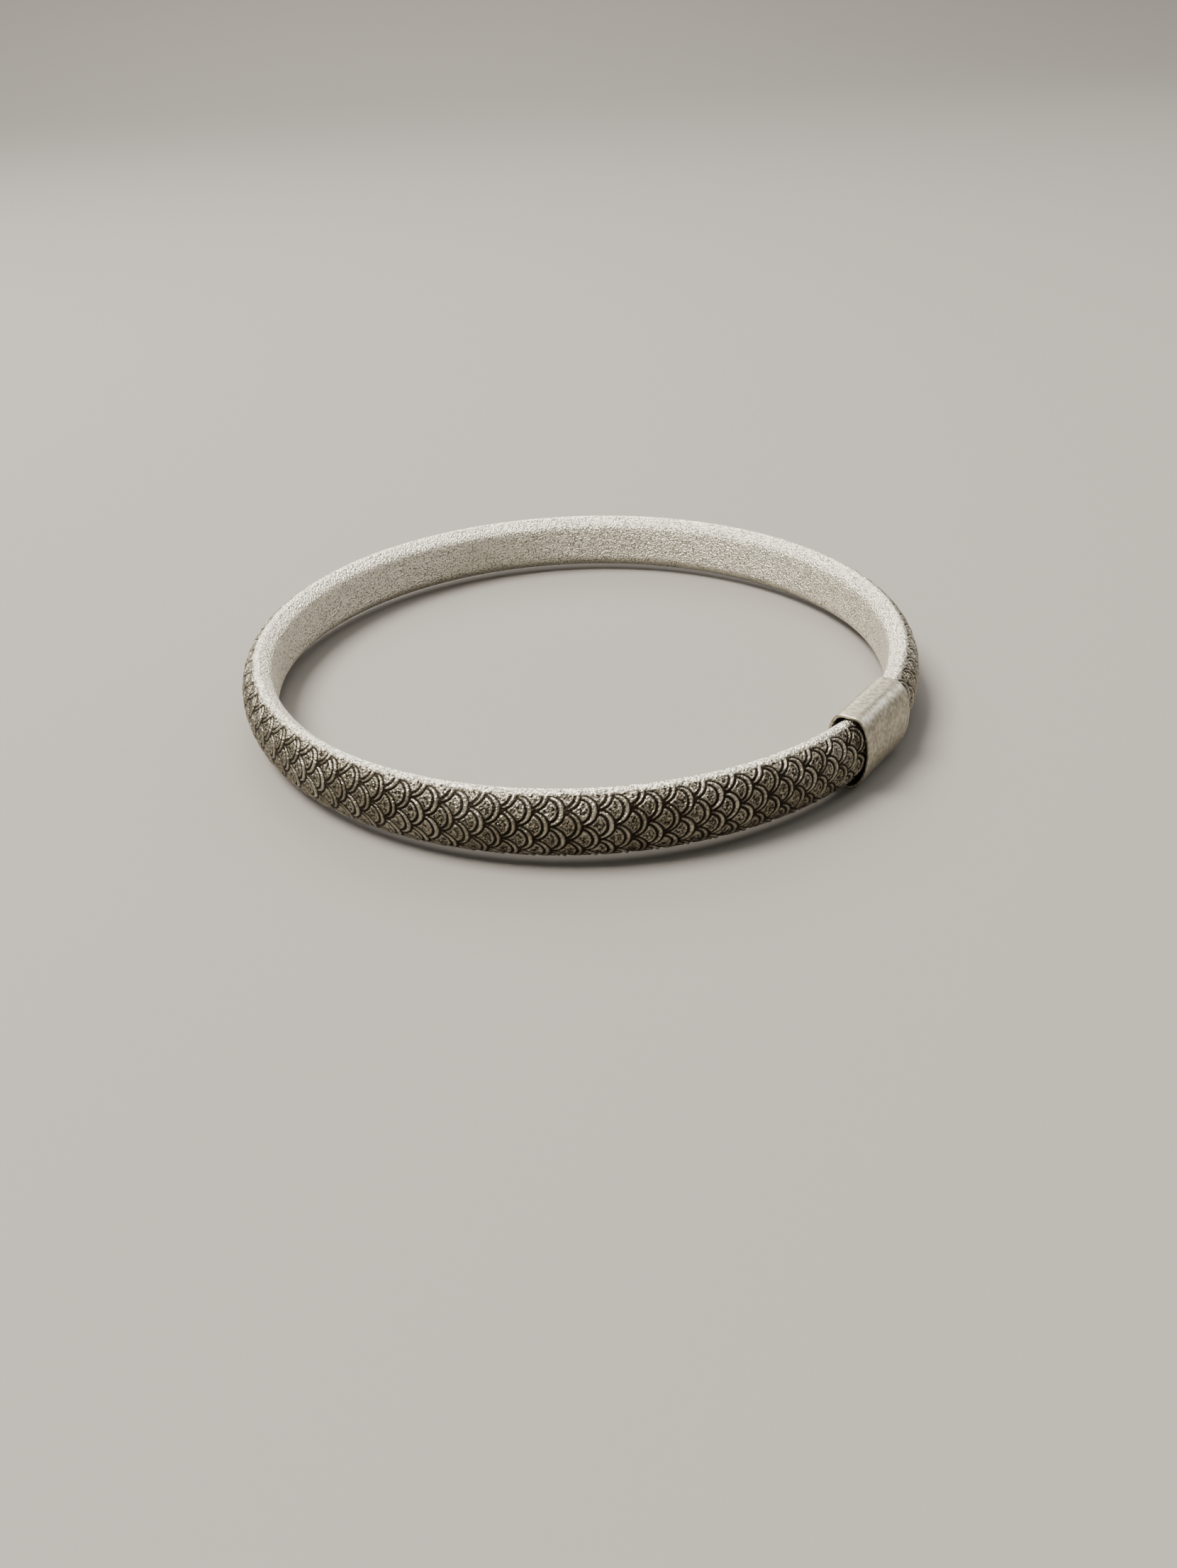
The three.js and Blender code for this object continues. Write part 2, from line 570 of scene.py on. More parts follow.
@dataclass(frozen=True)
class FishScales:
    """The chased pattern of overlapping rounds.

    Each laps over the one to its left in its row, and over the nearest of the rows above and below.

    Attributes:
        count: How many scales a row has, round the bangle.
        face_radius: Of the outer face, where the scales are laid out.
        row_shift: How far the rows lie below the crown's middle line.
        phase_deg: Where a scale's centre lies, measured from the front.
        inner_radius: Of the chased line inside each scale, at its middle.
        inner_back: How far back that line's middle lies from the scale's.
        inner_spread: How much its radius differs from scale to scale.
        line: Half the flat bottom of a chased line.
        slope: Width of a line's side, from its bottom up to the metal.
        depth: Of the lines.
        dish: How far the fan inside the inner line sinks, as a share of the depth.
        punch_start: Where the fan's punched middle begins, from the inner line.
        punch_end: Where it is punched all over.
        wander: How far the hand that cut the lines strayed.
        wander_size: How far along a line it is between one stray and the next.
        pit_size: Width of the pits in a fan's middle.
        pit_range: Where in the noise a pit begins and is deepest.
        pit_depth: How deep it is then, as a share of the depth.
        pit_seed: Keeps the pits apart from the strays.
        tarnish_range: The heights between which the tarnish thins out.
        fade_start: Where the pattern begins to fade, from the crown's middle line.
        fade_end: Where it is gone.
        fade_shift: How far the faded part is off the crown's middle line, downwards.
    """

    count: int = 81
    face_radius: float = 32.4
    row_shift: float = 0.6
    phase_deg: float = -0.613
    inner_radius: float = 1.03
    inner_back: float = 0.3
    inner_spread: float = 0.12
    line: float = 0.085
    slope: float = 0.13
    depth: float = 0.14
    dish: float = 0.35
    punch_start: float = 0.06
    punch_end: float = 0.24
    wander: float = 0.06
    wander_size: float = 1.3
    pit_size: float = 0.17
    pit_range: tuple[float, float] = (0.42, 0.62)
    pit_depth: float = 0.5
    pit_seed: float = 7.0
    tarnish_range: tuple[float, float] = (0.1, 0.72)
    fade_start: float = 3.1
    fade_end: float = 3.8
    fade_shift: float = 0.15

    @property
    def pitch(self) -> float:
        """From one scale to the next in its row."""
        return math.tau * self.face_radius / self.count

    def carve(
        self, tree: bpy.types.NodeTree, along: Field, across: Field, pitch: Field, seed: float
    ) -> dict[str, Field]:
        """Work out the pattern over the band's outer face.

        Args:
            tree: The geometry tree.
            along: Way round the bangle from the front, in millimetres.
            across: Way over the section from the crown, in millimetres.
            pitch: From one scale to the next in its row, in millimetres.
            seed: Turns the randomness.

        Returns:
            The height, from nought in a line to one on the metal; how far the pattern has not
            faded; each scale's own number; and where its middle is punched.
        """
        radius = pitch * 0.5  # the rows lie this far apart too
        stray = [
            (self._noise(tree, self.wander_size, seed + n) - 0.5) * (2 * self.wander) for n in range(2)
        ]
        start = math.radians(self.phase_deg) * self.face_radius
        u = along + stray[0] - start
        v = across + stray[1] + self.row_shift
        row_under = (v / radius).apply("FLOOR")

        candidates = []
        for step in (0, 1):
            row = row_under + step
            dy = v - row * radius
            offset = row.apply("FLOORED_MODULO", 2.0) * radius
            half = (radius * radius - dy * dy).apply("MAXIMUM", 0.0).apply("SQRT")
            centre = ((u - half - offset) / pitch).apply("CEIL") * pitch + offset
            dx = u - centre
            candidates.append(
                {
                    "row": row,
                    "centre": centre,
                    "from_centre": dx.length_with(dy),
                    "from_inner": (dx + self.inner_back).length_with(dy),
                    "from_left": (dx + pitch).length_with(dy),
                }
            )
        lower, upper = candidates
        lower_on_top = lower["centre"].apply("LESS_THAN", upper["centre"])
        own = {
            key: lower[key].chosen(lower_on_top, upper[key])
            for key in ("row", "centre", "from_centre", "from_inner")
        }
        past_left = lower["from_left"].apply("MINIMUM", upper["from_left"]) - radius

        # A number of its own for each scale, from its place in the pattern.
        inputs = {0: own["centre"] / radius, 1: own["row"], 2: seed}
        name = first_output(tree, "ShaderNodeCombineXYZ", None, inputs)
        settings = {"noise_dimensions": "3D"}
        tone = Field(tree, first_output(tree, "ShaderNodeTexWhiteNoise", settings, {"Vector": name}))
        inner = tone * self.inner_spread + (self.inner_radius - self.inner_spread / 2)

        # The rim is a crescent between the outer line and the inner one.
        past_inner = own["from_inner"] - inner
        rim = (radius - own["from_centre"]).apply("MINIMUM", past_inner) - self.line
        rim = rim.ramp(0.0, self.slope)

        # The fan inside has a lip and sinks to a pitted middle.
        inside = (past_inner * -1.0 - self.line).apply("MINIMUM", past_left)
        pits = self._noise(tree, self.pit_size, seed + self.pit_seed).ramp(*self.pit_range)
        punched = inside.ramp(self.punch_start, self.punch_end)
        fan = inside.ramp(0.0, self.slope) * (1.0 - punched * (pits * self.pit_depth + self.dish))

        clear = past_left.ramp(self.line / 2, self.line / 2 + self.slope)
        face = rim.apply("MAXIMUM", fan) * clear
        fade = 1.0 - abs(across + self.fade_shift).ramp(self.fade_start, self.fade_end)
        height = 1.0 - (1.0 - face) * fade
        return {"height": height, "fade": fade, "tone": tone, "punched": punched * fade}

    def _noise(self, tree: bpy.types.NodeTree, size: float, seed: float) -> Field:
        """Make a noise of a real size over the band.

        Args:
            tree: The geometry tree.
            size: How far it is from one rise to the next, in millimetres.
            seed: Turns it.

        Returns:
            The noise, from nought to one.
        """
        place = first_output(tree, "GeometryNodeInputPosition")
        inputs = {"Vector": place, "W": seed, "Scale": 1 / (size * MM), "Detail": 1.0}
        return Field(tree, first_output(tree, "ShaderNodeTexNoise", {"noise_dimensions": "4D"}, inputs))


@dataclass(frozen=True)
class Band:
    """The springy bar, from its fixed end all the way round to its sliding one.

    It is made as a few lengths that meet face to face, because one mesh would be too heavy.

    Attributes:
        sleeve_angle: Where the sleeve's middle lies, in radians.
        sleeve_length: Of the sleeve, along its own axis.
        centre_height: Of the middle of the section, above the floor.
        inner_radius: Wrist side.
        width: Along the bangle's axis.
        thickness: From the wrist side to the outer crown.
        wrist_depth: From the wrist side back to the edge.
        land: Flat along each edge.
        fullness: Exponent of the outer side's rounding.
        fixed_end_depth: How far the fixed end reaches into the sleeve.
        free_end_depth: How far the sliding end reaches in.
        tongue_share: The hidden ends are dressed down to this share of the section.
        tongue_start: Depth inside the sleeve where that begins.
        tongue_taper: Length of the taper down to it.
        wrist_past: How far past the chased face's edge the wrist side counts as, for the fade.
        cap_facing: A face is a cut end where its normal lies this nearly along the band.
        lengths: How many meshes the band is made as.
        crown_cells: Cells over the chased face.
        wrist_cells: Cells over the frosted wrist side.
        cell: Length of a cell round the bangle.
        seed: Turns the randomness of the pattern.
        scales: The pattern.
    """

    sleeve_angle: float
    sleeve_length: float
    centre_height: float
    inner_radius: float = 29.5
    width: float = 5.9
    thickness: float = 3.0
    wrist_depth: float = 1.05
    land: float = 0.2
    fullness: float = 2.0
    fixed_end_depth: float = 3.0
    free_end_depth: float = 3.6
    tongue_share: float = 0.9
    tongue_start: float = 0.7
    tongue_taper: float = 0.8
    wrist_past: float = 1.0
    cap_facing: float = 0.9
    lengths: int = 4
    crown_cells: int = 92
    wrist_cells: int = 42
    cell: float = 0.083
    seed: float = 3.0
    scales: FishScales = FishScales()

    @property
    def sweep_radius(self) -> float:
        """Radius of the circle through the middle of the edge lands."""
        return self.inner_radius + self.wrist_depth + self.land / 2

    @property
    def half_sleeve(self) -> float:
        """Angle from the sleeve's middle to its mouth, in radians."""
        return math.asin(self.sleeve_length / 2 / self.sweep_radius)

    @property
    def outline(self) -> Outline:
        """The band's section."""
        crown = RoundedSide(self.thickness - self.wrist_depth - self.land, self.fullness)
        return Outline(self.width, self.land, crown, BevelledSide(self.wrist_depth))

    def section_mesh(self) -> bpy.types.Mesh:
        """Make the section as a closed line, which the node tree sweeps.

        Returns:
            A mesh of points and edges. Each point knows its way over the face from the crown.
        """
        quarter = math.pi / 2
        crown = self.outline.stretch(-quarter, quarter, self.crown_cells)
        wrist = self.outline.stretch(quarter, 3 * quarter, self.wrist_cells)[1:]
        points = crown + wrist
        step = sum((b - a).length for a, b in zip(crown, crown[1:])) / self.crown_cells
        over = [(i - self.crown_cells / 2) * step for i in range(len(crown))]
        over += [over[-1] + self.wrist_past] * len(wrist)

        mesh = bpy.data.meshes.new("band_section")
        edges = [(i, (i + 1) % len(points)) for i in range(len(points))]
        mesh.from_pydata([p * MM for p in points], edges, [])
        across = mesh.attributes.new("across", "FLOAT", "POINT")
        across.data.foreach_set("value", over)
        place = mesh.attributes.new("section", "FLOAT_VECTOR", "POINT")
        place.data.foreach_set("vector", [n * MM for p in points for n in p])
        return mesh

    def tree(self) -> bpy.types.NodeTree:
        """Build the tree that sweeps the section round the bangle and chases the pattern in it.

        Returns:
            The geometry tree.
        """
        tree = bpy.data.node_groups.new("chased_band", "GeometryNodeTree")
        sockets = {
            "Geometry": "Geometry",
            "Start Angle": "Float",
            "Sweep Angle": "Float",
            "Steps": "Int",
            "Sweep Radius": "Float",
            "Centre Height": "Float",
            "Scale Pitch": "Float",
            "Relief Depth": "Float",
            "Material": "Material",
        }
        for name, kind in sockets.items():
            tree.interface.new_socket(name, in_out="INPUT", socket_type="NodeSocket" + kind)
        tree.interface.new_socket("Geometry", in_out="OUTPUT", socket_type="NodeSocketGeometry")
        given = add_node(tree, "NodeGroupInput").outputs
        start, sweep, radius, height, pitch, depth = (
            Field(tree, given[name])
            for name in (
                "Start Angle",
                "Sweep Angle",
                "Sweep Radius",
                "Centre Height",
                "Scale Pitch",
                "Relief Depth",
            )
        )

        inputs = {"Resolution": given["Steps"], "Radius": radius, "Start Angle": start, "Sweep Angle": sweep}
        arc = first_output(tree, "GeometryNodeCurveArc", {"mode": "RADIUS"}, inputs)
        share = add_node(tree, "GeometryNodeSplineParameter").outputs["Factor"]
        marked = store(tree, arc, "share", share)
        section = first_output(tree, "GeometryNodeMeshToCurve", None, {"Mesh": given["Geometry"]})
        inputs = {"Curve": marked, "Profile Curve": section, "Fill Caps": True}
        swept = first_output(tree, "GeometryNodeCurveToMesh", None, inputs)
        swept = first_output(tree, "GeometryNodeFlipFaces", None, {"Mesh": swept})

        kept = {}
        for name, kind in (("share", "FLOAT"), ("across", "FLOAT"), ("section", "FLOAT_VECTOR")):
            settings = {"data_type": kind}
            kept[name] = first_output(tree, "GeometryNodeInputNamedAttribute", settings, {"Name": name})
        angle = Field(tree, kept["share"]) * sweep + start
        parts = add_node(tree, "ShaderNodeSeparateXYZ", None, {0: kept["section"]}).outputs
        outward, upward = Field(tree, parts[0]), Field(tree, parts[1])

        # Dress the hidden ends down, as they are in the frame.
        from_middle = self._from_sleeve(angle)
        depth_inside = (self.half_sleeve - from_middle) * self.sweep_radius
        taper = depth_inside.ramp(self.tongue_start, self.tongue_start + self.tongue_taper)
        dressed = 1.0 - taper * (1 - self.tongue_share)
        reach = outward * dressed + radius
        inputs = {
            0: reach * angle.apply("COSINE"),
            1: reach * angle.apply("SINE"),
            2: upward * dressed + height,
        }
        plain = first_output(tree, "ShaderNodeCombineXYZ", None, inputs)
        inputs = {"Geometry": swept, "Position": plain}
        geometry = first_output(tree, "GeometryNodeSetPosition", None, inputs)

        along = (angle + math.pi / 2) * self.scales.face_radius
        pattern = self.scales.carve(tree, along, Field(tree, kept["across"]), pitch, self.seed)
        sunk = (pattern["height"] - 1.0) * depth

        # The relief sinks square to the band, at its cut ends too, where the cap tilts the normal.
        normal = first_output(tree, "GeometryNodeInputNormal")
        inputs = {0: angle.apply("SINE") * -1.0, 1: angle.apply("COSINE")}
        ahead = first_output(tree, "ShaderNodeCombineXYZ", None, inputs)
        tilt = vector_math(tree, "PROJECT", normal, ahead)
        square = vector_math(tree, "NORMALIZE", vector_math(tree, "SUBTRACT", normal, tilt))
        inputs = {0: square, "Scale": sunk}
        push = first_output(tree, "ShaderNodeVectorMath", {"operation": "SCALE"}, inputs)
        facts = {
            Stored.TARNISH: 1.0 - pattern["height"].ramp(*self.scales.tarnish_range),
            Stored.CHASED: pattern["fade"],
            Stored.SCALE_TONE: pattern["tone"],
            Stored.PUNCHED: pattern["punched"],
        }
        for kind, value in facts.items():
            geometry = store(tree, geometry, kind.value, value)
        inputs = {"Geometry": geometry, "Offset": push}
        geometry = first_output(tree, "GeometryNodeSetPosition", None, inputs)

        # The caps stay flat, so that two lengths meet without a shaded line.
        inputs = {0: normal, 1: ahead}
        facing = add_node(tree, "ShaderNodeVectorMath", {"operation": "DOT_PRODUCT"}, inputs)
        cap = abs(Field(tree, facing.outputs["Value"])).apply("GREATER_THAN", self.cap_facing)
        inputs = {"Geometry": geometry, "Selection": cap, "Shade Smooth": False}
        geometry = first_output(tree, "GeometryNodeSetShadeSmooth", None, inputs)
        for spare in kept:
            inputs = {"Geometry": geometry, "Name": spare}
            geometry = first_output(tree, "GeometryNodeRemoveAttribute", None, inputs)
        geometry = first_output(tree, "GeometryNodeRealizeInstances", None, {"Geometry": geometry})
        inputs = {"Geometry": geometry, "Material": given["Material"]}
        geometry = first_output(tree, "GeometryNodeSetMaterial", None, inputs)
        add_node(tree, "NodeGroupOutput", None, {0: geometry})
        return tree

    def _from_sleeve(self, angle: Field) -> Field:
        """Return how far round an angle lies from the sleeve's middle, either way, in radians."""
        turned = (angle - self.sleeve_angle + math.pi).apply("FLOORED_MODULO", 2 * math.pi) - math.pi
        return abs(turned)

    def build(self, finish: OxidisedSilver) -> list[bpy.types.Object]:
        """Make the band's lengths.

        Args:
            finish: The band's metal.

        Returns:
            The lengths, from the fixed end round to the sliding one.
        """
        start = self.sleeve_angle + self.half_sleeve - self.fixed_end_depth / self.sweep_radius - math.tau
        end = self.sleeve_angle - self.half_sleeve + self.free_end_depth / self.sweep_radius
        sweep = (end - start) / self.lengths
        steps = round(sweep * (self.inner_radius + self.thickness) / self.cell)
        tree = self.tree()
        material = finish.make()
        made = []
        for n in range(self.lengths):
            values = {
                "Start Angle": start + n * sweep,
                "Sweep Angle": sweep,
                "Steps": steps + 1,
                "Sweep Radius": self.sweep_radius * MM,
                "Centre Height": self.centre_height * MM,
                "Scale Pitch": self.scales.pitch,  # the pattern is worked out in millimetres
                "Relief Depth": self.scales.depth * MM,
                "Material": material,
            }
            made.append(grow(f"band_length_{n + 1}", self.section_mesh(), tree, values))
        return made


def store(
    tree: bpy.types.NodeTree, geometry: bpy.types.NodeSocket, name: str, value: Any
) -> bpy.types.NodeSocket:
    """Keep a number on each point of a geometry.

    Args:
        tree: The geometry tree.
        geometry: The geometry.
        name: What the number is called.
        value: The number.

    Returns:
        The geometry with it.
    """
    settings = {"data_type": "FLOAT", "domain": "POINT"}
    inputs = {"Geometry": geometry, "Name": name, "Value": value}
    return first_output(tree, "GeometryNodeStoreNamedAttribute", settings, inputs)


def grow(
    name: str, seed_mesh: bpy.types.Mesh, tree: bpy.types.NodeTree, values: dict[str, Any]
) -> bpy.types.Object:
    """Run a geometry tree on a mesh and keep the plain result.

    Args:
        name: Name of the finished piece.
        seed_mesh: The mesh that the tree starts from.
        tree: The geometry tree.
        values: The tree's named inputs.

    Returns:
        The finished piece, with no modifier.
    """
    seedling = new_object(name + "_seed", seed_mesh)
    modifier = seedling.modifiers.new("grow", "NODES")
    modifier.node_group = tree
    for item in tree.interface.items_tree:
        if item.in_out == "INPUT" and item.name in values:
            modifier[item.identifier] = values[item.name]
    depsgraph = bpy.context.evaluated_depsgraph_get()
    mesh = bpy.data.meshes.new_from_object(seedling.evaluated_get(depsgraph), depsgraph=depsgraph)
    bpy.data.objects.remove(seedling)
    mesh.name = name
    return new_object(name, mesh)


# ---------------------------------------------------------------------------------------------
# The sleeve
# ---------------------------------------------------------------------------------------------


@dataclass(frozen=True)
class Sleeve:
    """The plain tube over the band's two ends. It grips the fixed end and is open at the mouth.

    Attributes:
        centre_radius: Of the middle of its section, from the bangle's axis.
        thickness: Outside, from the wrist side to the outer side.
        width: Outside, along the bangle's axis.
        half_angle: From its middle to its mouth, in radians.
        angle: Where its middle lies, in radians.
        centre_height: Of the middle of its section, above the floor.
        length: Along its own axis.
        wall: Thickness of its wall.
        land: Flat along each edge.
        fullness: Exponent of the outer side's rounding.
        wrist_fullness: Exponent of the wrist side's.
        lip: Radius of the mouth's rounded rim.
        shoulder: How long the end that closes down on the band is.
        seat_gap: Between that end and the band.
        shoulder_inside: Where the wall's inner face leaves the shoulder, from the fixed end.
        shoulder_squeeze: How far it has closed down on the band there, from nought to one.
        cavity_end: Where the cavity has its full section, from the fixed end.
        around: Cells round the section.
        cells_along: Cells along the straight part.
        lip_cells: Cells over each side of the rim.
        shoulder_cells: Cells over the shoulder.
    """

    centre_radius: float
    thickness: float
    width: float
    half_angle: float
    angle: float
    centre_height: float
    length: float
    wall: float
    land: float = 0.6
    fullness: float = 2.0
    wrist_fullness: float = 3.0
    lip: float = 0.09
    shoulder: float = 0.55
    seat_gap: float = 0.03
    shoulder_inside: float = 0.3
    shoulder_squeeze: float = 0.9
    cavity_end: float = 1.0
    around: int = 160
    cells_along: int = 24
    lip_cells: int = 6
    shoulder_cells: int = 12

    def outline(self, taken: float) -> Outline:
        """Work out the sleeve's section, or one inside it.

        Args:
            taken: How much is shaved off all round.

        Returns:
            The section.
        """
        depth = (self.thickness - self.land) / 2 - taken
        sides = RoundedSide(depth, self.fullness), RoundedSide(depth, self.wrist_fullness)
        return Outline(self.width - 2 * taken, self.land, *sides)

    def ring(self, taken: float, along: float, band: Band, squeeze: float = 0.0) -> list[Vector]:
        """Place one ring of the tube.

        Args:
            taken: How far inside the outer face it lies.
            along: How far from the sleeve's middle, towards the fixed end.
            band: The band, which the shoulder closes down on.
            squeeze: How far it has closed down on the band, from nought to one.

        Returns:
            The ring's points, in metres.
        """
        quarter = math.pi / 2
        half = self.around // 2
        loops = []
        for shape, shift in ((self.outline(taken), self.centre_radius), (band.outline, band.sweep_radius)):
            outer = shape.stretch(-quarter, quarter, half)
            inner = shape.stretch(quarter, 3 * quarter, half)[1:]
            loops.append([Vector((p.x + shift, p.y, 0)) for p in outer + inner])
        middle = Vector((self.centre_radius, 0, 0))
        bend = math.cos(self.half_angle)
        points = []
        for tube, bar in zip(*loops):
            seat = Vector((bar.x * bend, bar.y, 0))
            seat += (seat - middle).normalized() * self.seat_gap
            points.append(self.place(tube.lerp(seat, squeeze), along))
        return points

    def place(self, flat: Vector, along: float) -> Vector:
        """Stand a point of the section up in the bangle.

        Args:
            flat: The point, from the bangle's axis outwards and from the middle height upwards.
            along: How far from the sleeve's middle, towards the fixed end.

        Returns:
            The point, in metres.
        """
        outward = Vector((math.cos(self.angle), math.sin(self.angle), 0))
        forward = Vector((-math.sin(self.angle), math.cos(self.angle), 0))
        return (outward * flat.x + forward * along + Vector((0, 0, flat.y + self.centre_height))) * MM

    def build(self, band: Band, finish: SatinSilver) -> bpy.types.Object:
        """Make the tube as one closed wall.

        Args:
            band: The band inside it.
            finish: The sleeve's metal.

        Returns:
            The sleeve.
        """
        half = self.length / 2
        mouth = -half + self.lip
        quarter_turns = [math.pi / 2 * step / self.lip_cells for step in range(self.lip_cells + 1)]
        rings = []
        # Outside, from the mouth's lip to the shoulder.
        for turn in quarter_turns:
            rings.append((self.lip * (1 - math.sin(turn)), mouth - self.lip * math.cos(turn), 0.0))
        straight = self.length - self.lip - self.shoulder
        for step in range(1, self.cells_along):
            rings.append((0.0, mouth + straight * step / self.cells_along, 0.0))
        for step in range(self.shoulder_cells + 1):
            turn = math.pi / 2 * step / self.shoulder_cells
            rings.append((0.0, half - self.shoulder * (1 - math.sin(turn)), 1 - math.cos(turn)))
        # Inside, back to the mouth.
        rings.append((self.wall, half - self.shoulder_inside, self.shoulder_squeeze))
        rings.append((self.wall, half - self.cavity_end, 0.0))
        for turn in quarter_turns:
            taken = self.wall - self.lip * (1 - math.cos(turn))
            rings.append((taken, mouth - self.lip * math.sin(turn), 0.0))

        points: list[Vector] = []
        for taken, along, squeeze in rings:
            points += self.ring(taken, along, band, squeeze)
        count = len(points) // len(rings)
        faces = []
        for r in range(len(rings)):
            here, there = r * count, (r + 1) % len(rings) * count
            for i in range(count):
                j = (i + 1) % count
                faces.append((here + i, there + i, there + j, here + j))  # so that they point outwards
        mesh = bpy.data.meshes.new("sleeve_tube")
        mesh.from_pydata(points, [], faces)
        mesh.polygons.foreach_set("use_smooth", [True] * len(faces))
        along = Vector((-math.sin(self.angle), math.cos(self.angle), 0))
        mesh.materials.append(finish.make(along))
        return new_object("sleeve_tube", mesh)


# ---------------------------------------------------------------------------------------------
# The studio
# ---------------------------------------------------------------------------------------------


@dataclass(frozen=True)
class SoftLight:
    """A square soft box that faces the bangle.

    Attributes:
        name: The lamp's name.
        place: Where it hangs, in metres.
        size: Its side, in metres.
        power: In watts.
        colour: Of its light.
    """

    name: str
    place: tuple[float, float, float]
    size: float
    power: float
    colour: str

    def hang(self, target: Vector) -> None:
        """Hang the light.

        Args:
            target: What it faces.
        """
        data = bpy.data.lights.new(self.name, "AREA")
        data.shape = "SQUARE"
        data.size = self.size
        data.energy = self.power
        data.color = linear(self.colour)[:3]
        lamp = new_object(self.name, data)
        lamp.location = self.place
        away = Vector(self.place) - target
        lamp.rotation_mode = "QUATERNION"
        lamp.rotation_quaternion = away.to_track_quat("Z", "Y")


@dataclass(frozen=True)
class Studio:
    """Pale floor, soft lights and the camera.

    Attributes:
        elevation_deg: How far above the floor the camera looks from.
        distance: From the lens to the bangle's middle, in millimetres.
        focal_share: Focal length over the picture's height.
        aim_across: Where the bangle's middle shows, right of the picture's, over its height.
        aim_up: The same, above the picture's middle.
        roll_deg: How far the camera leans.
        sensor: Height of the camera's sensor, in millimetres.
        clip: The nearest and the furthest that the camera sees, in metres.
        floor_colour: Of the matt paper that is the floor.
        floor_roughness: Of that paper.
        floor_flat: Radius of its flat part, in metres.
        floor_curve: Radius of the curve up at its edge, in metres.
        floor_turn: How far that curve goes round, in radians.
        floor_rings: Cells over the curve.
        floor_sides: Cells round the floor.
        sky_colour: Of the even light that fills the room.
        sky_strength: Of that light.
        lights: The soft boxes.
    """

    elevation_deg: float = 25.348
    distance: float = 118.3
    focal_share: float = 0.7578
    aim_across: float = -0.00547
    aim_up: float = 0.0857
    roll_deg: float = 2.319
    sensor: float = 36.0
    clip: tuple[float, float] = (0.005, 50.0)
    floor_colour: str = "77736D"
    floor_roughness: float = 0.9
    floor_flat: float = 1.5
    floor_curve: float = 3.0
    floor_turn: float = math.radians(65)
    floor_rings: int = 24
    floor_sides: int = 96
    sky_colour: str = "C9C7C4"
    sky_strength: float = 0.8
    lights: tuple[SoftLight, ...] = (
        SoftLight("ceiling", (-0.5, 0.9, 2.6), 4.6, 110.0, "FFFCF6"),
        SoftLight("key", (-0.42, 0.04, 0.82), 0.42, 28.0, "FFFBF4"),
        SoftLight("back", (-0.3, 2.2, 1.6), 1.2, 48.0, "FFFAF2"),
        SoftLight("right", (1.6, 0.7, 0.9), 0.7, 10.0, "FBFCFF"),
    )

    def camera(self, middle: Vector) -> bpy.types.Object:
        """Set the camera.

        Args:
            middle: The middle of the bangle.

        Returns:
            The camera.
        """
        rise = math.radians(self.elevation_deg)
        back = Vector((0, -math.cos(rise), math.sin(rise)))
        look = -back
        right = Vector((1, 0, 0))
        up = right.cross(look)

        # The ray to the bangle, seen from the camera, and the two directions square to it.
        ray = Vector((self.aim_across, self.aim_up, -self.focal_share)).normalized()
        side = ray.cross(Vector((0, 1, 0))).normalized()
        head = side.cross(ray)
        lean = math.radians(self.roll_deg)
        side, head = (
            side * math.cos(lean) + head * math.sin(lean),
            head * math.cos(lean) - side * math.sin(lean),
        )
        seen = Matrix((side, head, ray)).transposed()
        world = Matrix((right, up, look))
        turn = (seen @ world).transposed()

        data = bpy.data.cameras.new("camera")
        data.sensor_width = self.sensor
        data.lens = self.sensor * self.focal_share
        data.clip_start, data.clip_end = self.clip
        camera = new_object("camera", data)
        camera.rotation_mode = "QUATERNION"
        camera.rotation_quaternion = turn.to_quaternion()
        camera.location = middle + back * self.distance * MM
        bpy.context.scene.camera = camera
        return camera

    def floor(self) -> bpy.types.Object:
        """Lay the floor: a wide sheet, flat round the bangle and curved gently up far away.

        Returns:
            The floor.
        """
        rings = [(self.floor_flat, 0.0)]
        for step in range(1, self.floor_rings + 1):
            turn = self.floor_turn * step / self.floor_rings
            out = self.floor_flat + self.floor_curve * math.sin(turn)
            rings.append((out, self.floor_curve * (1 - math.cos(turn))))
        sides = self.floor_sides
        points = [
            (out * math.cos(math.tau * i / sides), out * math.sin(math.tau * i / sides), up)
            for out, up in rings
            for i in range(sides)
        ]
        faces: list[tuple[int, ...]] = [tuple(range(sides))]
        for r in range(len(rings) - 1):
            for i in range(sides):
                j = (i + 1) % sides
                here, there = r * sides, (r + 1) * sides
                faces.append((here + i, there + i, there + j, here + j))
        mesh = bpy.data.meshes.new("floor")
        mesh.from_pydata(points, [], faces)
        mesh.polygons.foreach_set("use_smooth", [True] * len(faces))
        material = bpy.data.materials.new("matt_paper")
        material.use_nodes = True
        shader = material.node_tree.nodes["Principled BSDF"]
        shader.inputs["Base Color"].default_value = linear(self.floor_colour)
        shader.inputs["Roughness"].default_value = self.floor_roughness
        mesh.materials.append(material)
        sheet = new_object("floor", mesh)
        return sheet

    def sky(self) -> None:
        """Fill the room with a little even light."""
        world = bpy.data.worlds.new("room")
        world.use_nodes = True
        glow = world.node_tree.nodes["Background"]
        glow.inputs["Color"].default_value = linear(self.sky_colour)
        glow.inputs["Strength"].default_value = self.sky_strength
        bpy.context.scene.world = world

    def build(self, middle: Vector) -> None:
        """Set up the whole studio.

        Args:
            middle: The middle of the bangle.
        """
        self.camera(middle)
        self.floor()
        self.sky()
        for light in self.lights:
            light.hang(middle)


# ---------------------------------------------------------------------------------------------
# The whole
# ---------------------------------------------------------------------------------------------


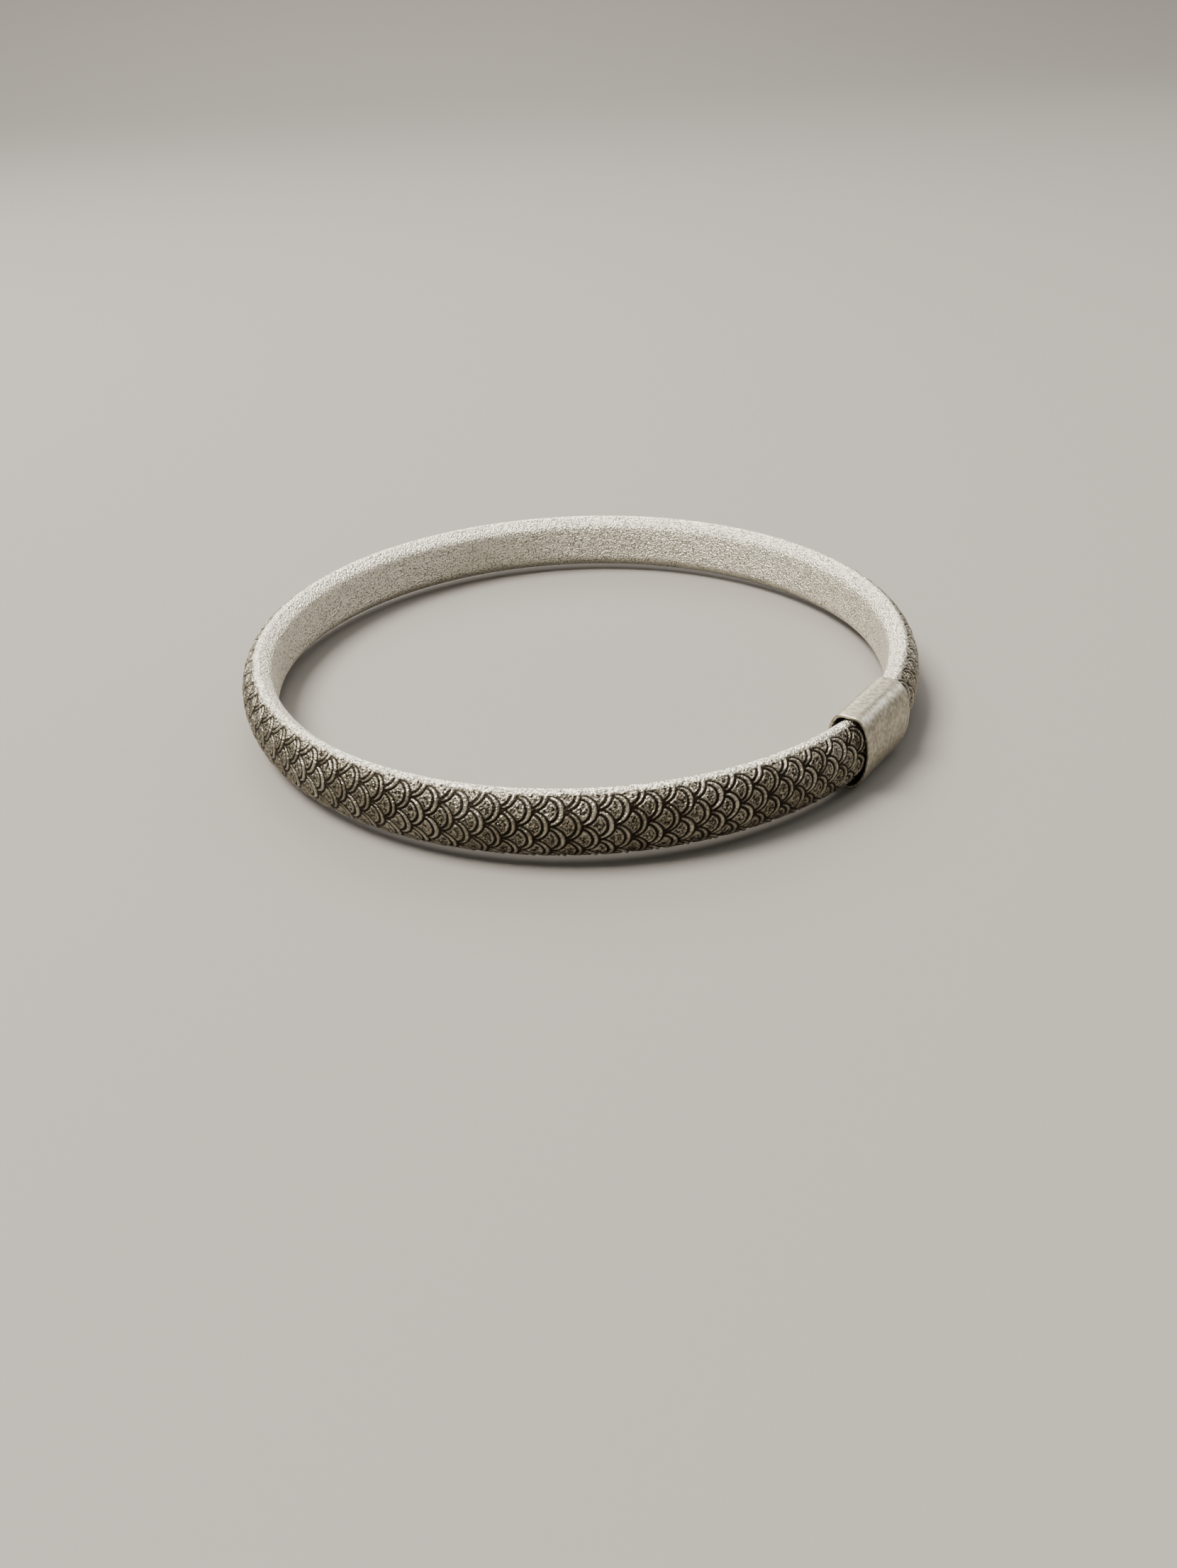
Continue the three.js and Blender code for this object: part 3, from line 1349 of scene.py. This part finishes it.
def settle(piece: bpy.types.Object, node: str) -> None:
    """Tie a finished piece to the frame.

    Args:
        piece: The piece.
        node: The frame's node that it stands for.
    """
    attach(piece, BODY)
    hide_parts(node)
    LOG.info("%s: %d faces, stands for %s", piece.name, len(piece.data.polygons), node)


@dataclass(frozen=True)
class Bangle:
    """The whole bangle: how the sleeve sits on the band, and what both are dressed in.

    Attributes:
        centre_height: Of the middle of its section, above the floor.
        sleeve_width: Of the sleeve, along the bangle's axis.
        sleeve_azimuth_deg: Where the sleeve's middle lies, from +X towards +Y.
        sleeve_length: Along its own axis.
        sliding_gap: From the sleeve's inside to the band's wrist side.
        mouth_gap: From the sleeve's inside to the band's crown, at the mouth.
        sleeve_wall: Thickness of the sleeve's wall.
        cast: The band's metal.
        satin: The sleeve's metal.
    """

    centre_height: float
    sleeve_width: float
    sleeve_azimuth_deg: float = -37.2
    sleeve_length: float = 8.6
    sliding_gap: float = 0.2
    mouth_gap: float = 0.26
    sleeve_wall: float = 0.25
    cast: OxidisedSilver = OxidisedSilver()
    satin: SatinSilver = SatinSilver()

    @property
    def band(self) -> Band:
        """The band."""
        return Band(math.radians(self.sleeve_azimuth_deg), self.sleeve_length, self.centre_height)

    @property
    def sleeve(self) -> Sleeve:
        """The sleeve, whose inside clears the bent band by the two gaps.

        Returns:
            The sleeve.
        """
        band = self.band
        bend = math.cos(band.half_sleeve)
        cavity_inner = band.inner_radius * bend - self.sliding_gap
        cavity_outer = (band.inner_radius + band.thickness) * bend + self.mouth_gap
        return Sleeve(
            centre_radius=(cavity_inner + cavity_outer) / 2,
            thickness=cavity_outer - cavity_inner + 2 * self.sleeve_wall,
            width=self.sleeve_width,
            half_angle=band.half_sleeve,
            angle=band.sleeve_angle,
            centre_height=self.centre_height,
            length=self.sleeve_length,
            wall=self.sleeve_wall,
        )

    def build(self) -> None:
        """Make every piece and tie it to the frame."""
        band = self.band
        for piece in band.build(self.cast):
            settle(piece, "band")
        settle(self.sleeve.build(band, self.satin), "sleeve")


def main() -> None:
    """Build the studio and the bangle."""
    logging.basicConfig(level=logging.INFO, format="%(message)s")
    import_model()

    low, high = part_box("sleeve")
    bangle = Bangle(centre_height=(low.z + high.z) / 2 / MM, sleeve_width=(high.z - low.z) / MM)

    Studio().build(Vector((0, 0, bangle.centre_height * MM)))
    bangle.build()


if __name__ == "__main__":
    main()
